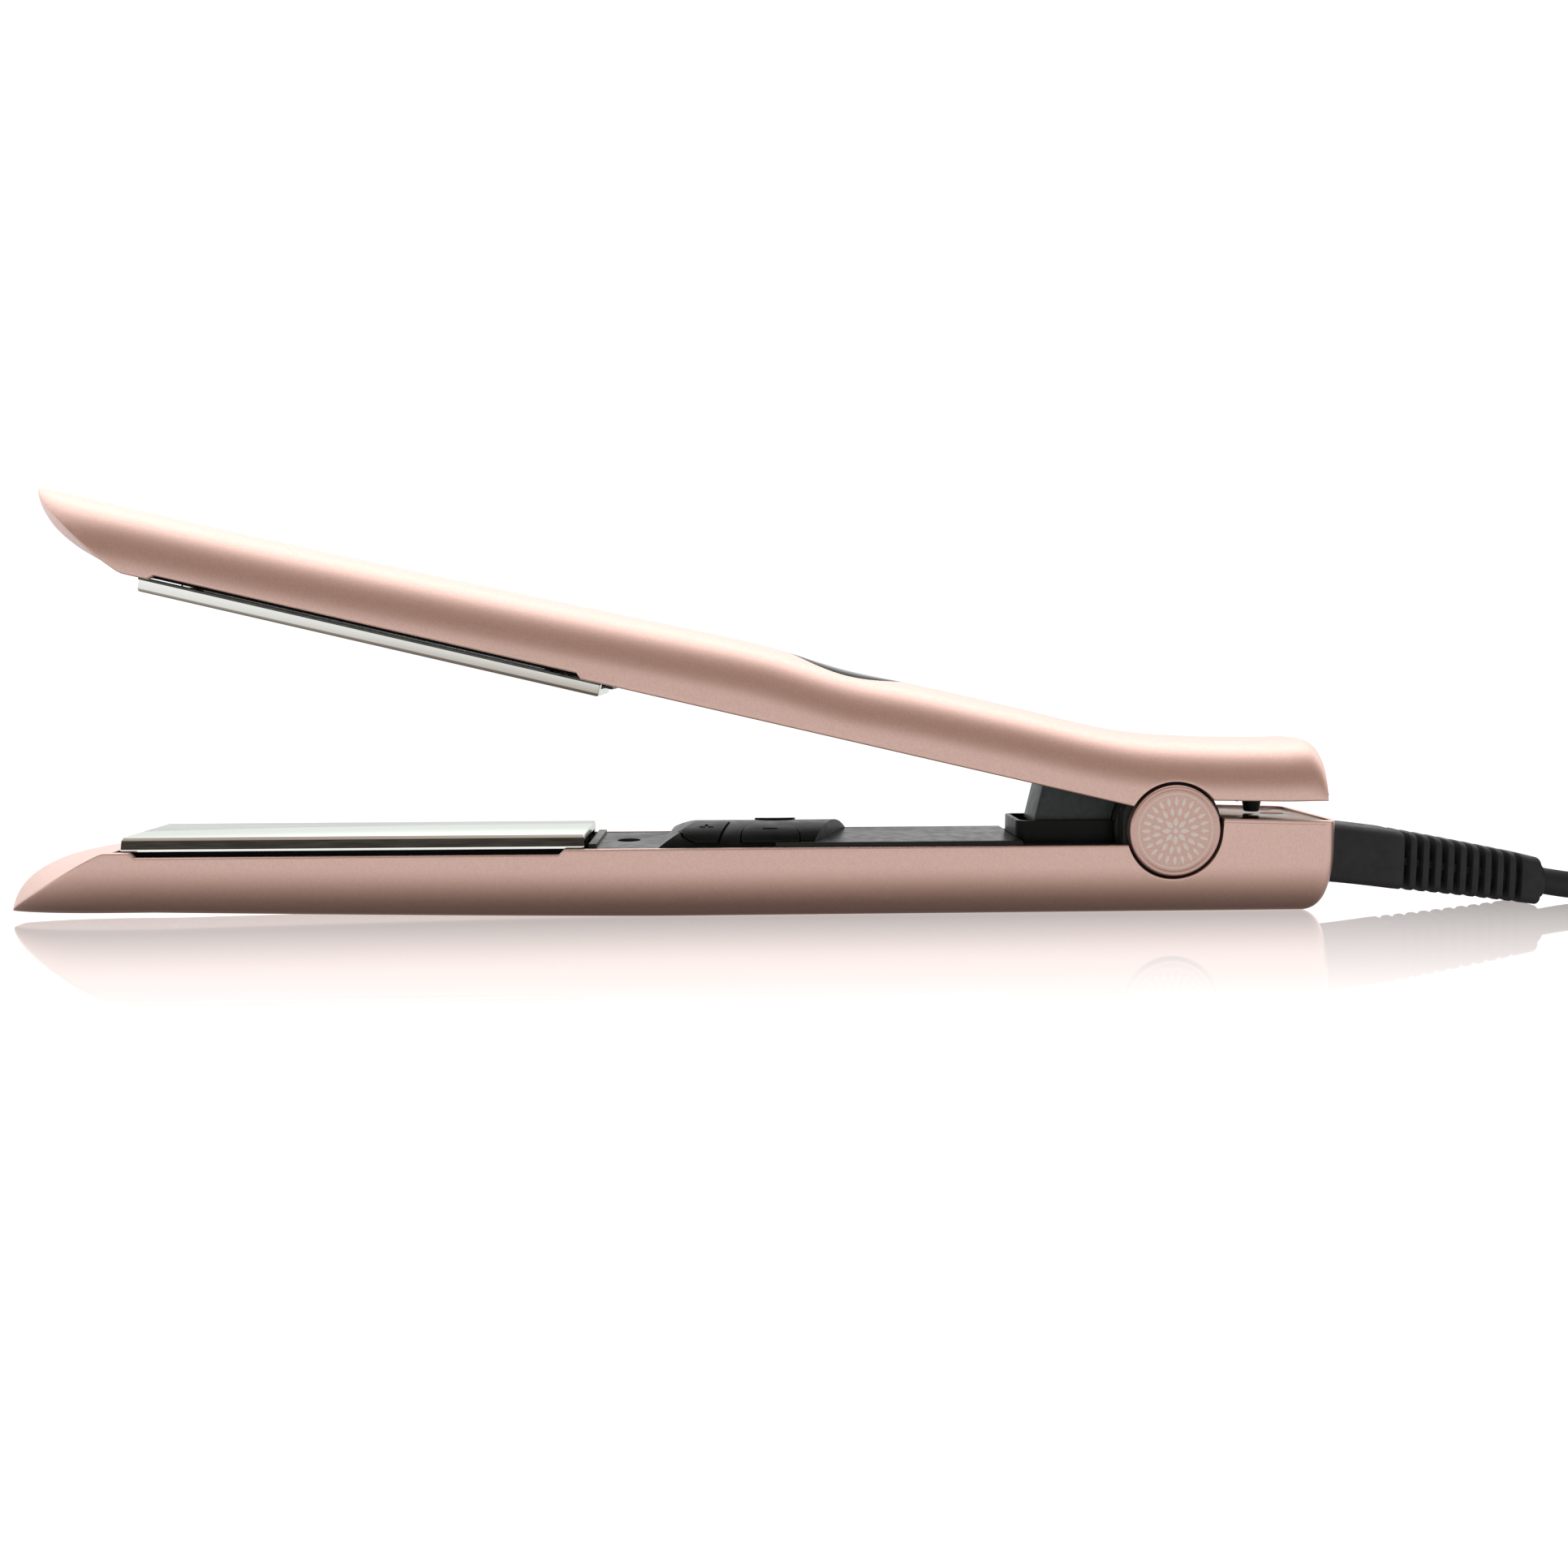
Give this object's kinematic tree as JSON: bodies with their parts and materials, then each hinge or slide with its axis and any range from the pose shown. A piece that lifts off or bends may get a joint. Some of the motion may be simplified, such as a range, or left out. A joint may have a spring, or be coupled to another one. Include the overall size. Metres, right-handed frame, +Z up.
{
  "type": "flat iron",
  "caption": "Hair-straightening flat iron: two hinged arms with floating heated plates, three keys on the lower deck, round hinge caps, strain relief and a folded mains cord.",
  "frame": {"origin": "on the table plane, straight under the hinge axis, in the middle of the arms' width", "axes": "+X from the plates to the cord, +Y away from the keypad side, +Z up; at rest the upper arm stands 13.2 degrees open"},
  "size_m": [0.5542, 0.0602, 0.0972],
  "materials": {
    "rose_casing": "metallic rose-gold lacquer, satin",
    "black_plastic": "fine moulded grain",
    "gloss_black": "polished",
    "plate_metal": "mirror-polished coated plate",
    "steel": "bright",
    "soft_rubber": "matte moulded",
    "silicone": "matte",
    "ceramic": "matte fired ceramic",
    "board": "solder mask",
    "brass": "turned",
    "lead_red": "matte sleeve",
    "lead_blue": "matte sleeve"
  },
  "bodies": {
    "lower_arm": {"lower_casing": "rose_casing", "lower_rear_cover": "rose_casing", "lower_deck": "black_plastic", "lower_pad_front": "silicone", "lower_pad_rear": "silicone", "control_pod": "black_plastic", "plus_switch": "steel", "minus_switch": "steel", "power_switch": "steel", "control_board": "board", "deck_screw": "steel", "rear_screw_near": "steel", "rear_screw_far": "steel", "spring_tray": "black_plastic", "opening_spring": "steel", "strain_relief": "soft_rubber", "cord_clamp": "black_plastic", "clamp_screw_near": "steel", "clamp_screw_far": "steel", "live_lead": "lead_red", "neutral_lead": "lead_blue", "lower_heater_lead": "lead_red", "hinge_pin": "steel", "pin_ring": "steel", "hinge_cap_near": "rose_casing", "hinge_cap_far": "rose_casing", "cord_lead": "soft_rubber", "cord_hank": "soft_rubber", "cord_tie": "black_plastic", "cord_end": "soft_rubber", "plug_body": "black_plastic", "plug_blade_near": "brass", "plug_blade_far": "brass"},
    "lower_plate_float": {"lower_plate": "plate_metal", "lower_heater": "ceramic", "lower_heater_clip": "steel", "lower_thermistor": "ceramic", "lower_plate_carrier": "black_plastic"},
    "plus_key": {"plus_button": "black_plastic"},
    "minus_key": {"minus_button": "black_plastic"},
    "power_key": {"power_button": "black_plastic"},
    "upper_arm": {"upper_casing": "rose_casing", "upper_deck": "black_plastic", "upper_deck_screw": "steel", "upper_pad_front": "silicone", "upper_pad_rear": "silicone", "spring_shroud": "black_plastic", "stop_bumper": "soft_rubber", "display_window": "gloss_black", "display_board": "board", "hinge_bush_near": "brass", "hinge_bush_far": "brass", "upper_heater_lead": "lead_red"},
    "upper_plate_float": {"upper_plate": "plate_metal", "upper_heater": "ceramic", "upper_heater_clip": "steel", "upper_thermal_fuse": "ceramic", "upper_plate_carrier": "black_plastic"}
  },
  "joints": [
    {"name": "arm_hinge", "type": "hinge", "parent": "lower_arm", "child": "upper_arm", "pos_m": [0, 0, 0.02], "axis": [0, -1, 0], "range_deg": [0, 13.2], "stiffness_Nm_per_rad": 2.5, "springref_deg": -9.17, "deforming": ["opening_spring"]},
    {"name": "lower_plate_give", "type": "slide", "parent": "lower_arm", "child": "lower_plate_float", "axis": [0, 0, -1], "range_m": [0, 0.0008], "stiffness_N_per_m": 8000, "springref_m": -0.0005, "deforming": ["lower_pad_front", "lower_pad_rear"]},
    {"name": "upper_plate_give", "type": "slide", "parent": "upper_arm", "child": "upper_plate_float", "axis": [0.2284, 0, 0.9736], "range_m": [0, 0.0008], "stiffness_N_per_m": 8000, "springref_m": -0.0005, "deforming": ["upper_pad_front", "upper_pad_rear"]},
    {"name": "plus_press", "type": "slide", "parent": "lower_arm", "child": "plus_key", "axis": [0, 0, -1], "range_m": [0, 0.0004], "stiffness_N_per_m": 500, "springref_m": -0.001},
    {"name": "minus_press", "type": "slide", "parent": "lower_arm", "child": "minus_key", "axis": [0, 0, -1], "range_m": [0, 0.0004], "stiffness_N_per_m": 500, "springref_m": -0.001},
    {"name": "power_press", "type": "slide", "parent": "lower_arm", "child": "power_key", "axis": [0, 0, -1], "range_m": [0, 0.0004], "stiffness_N_per_m": 500, "springref_m": -0.001}
  ]
}
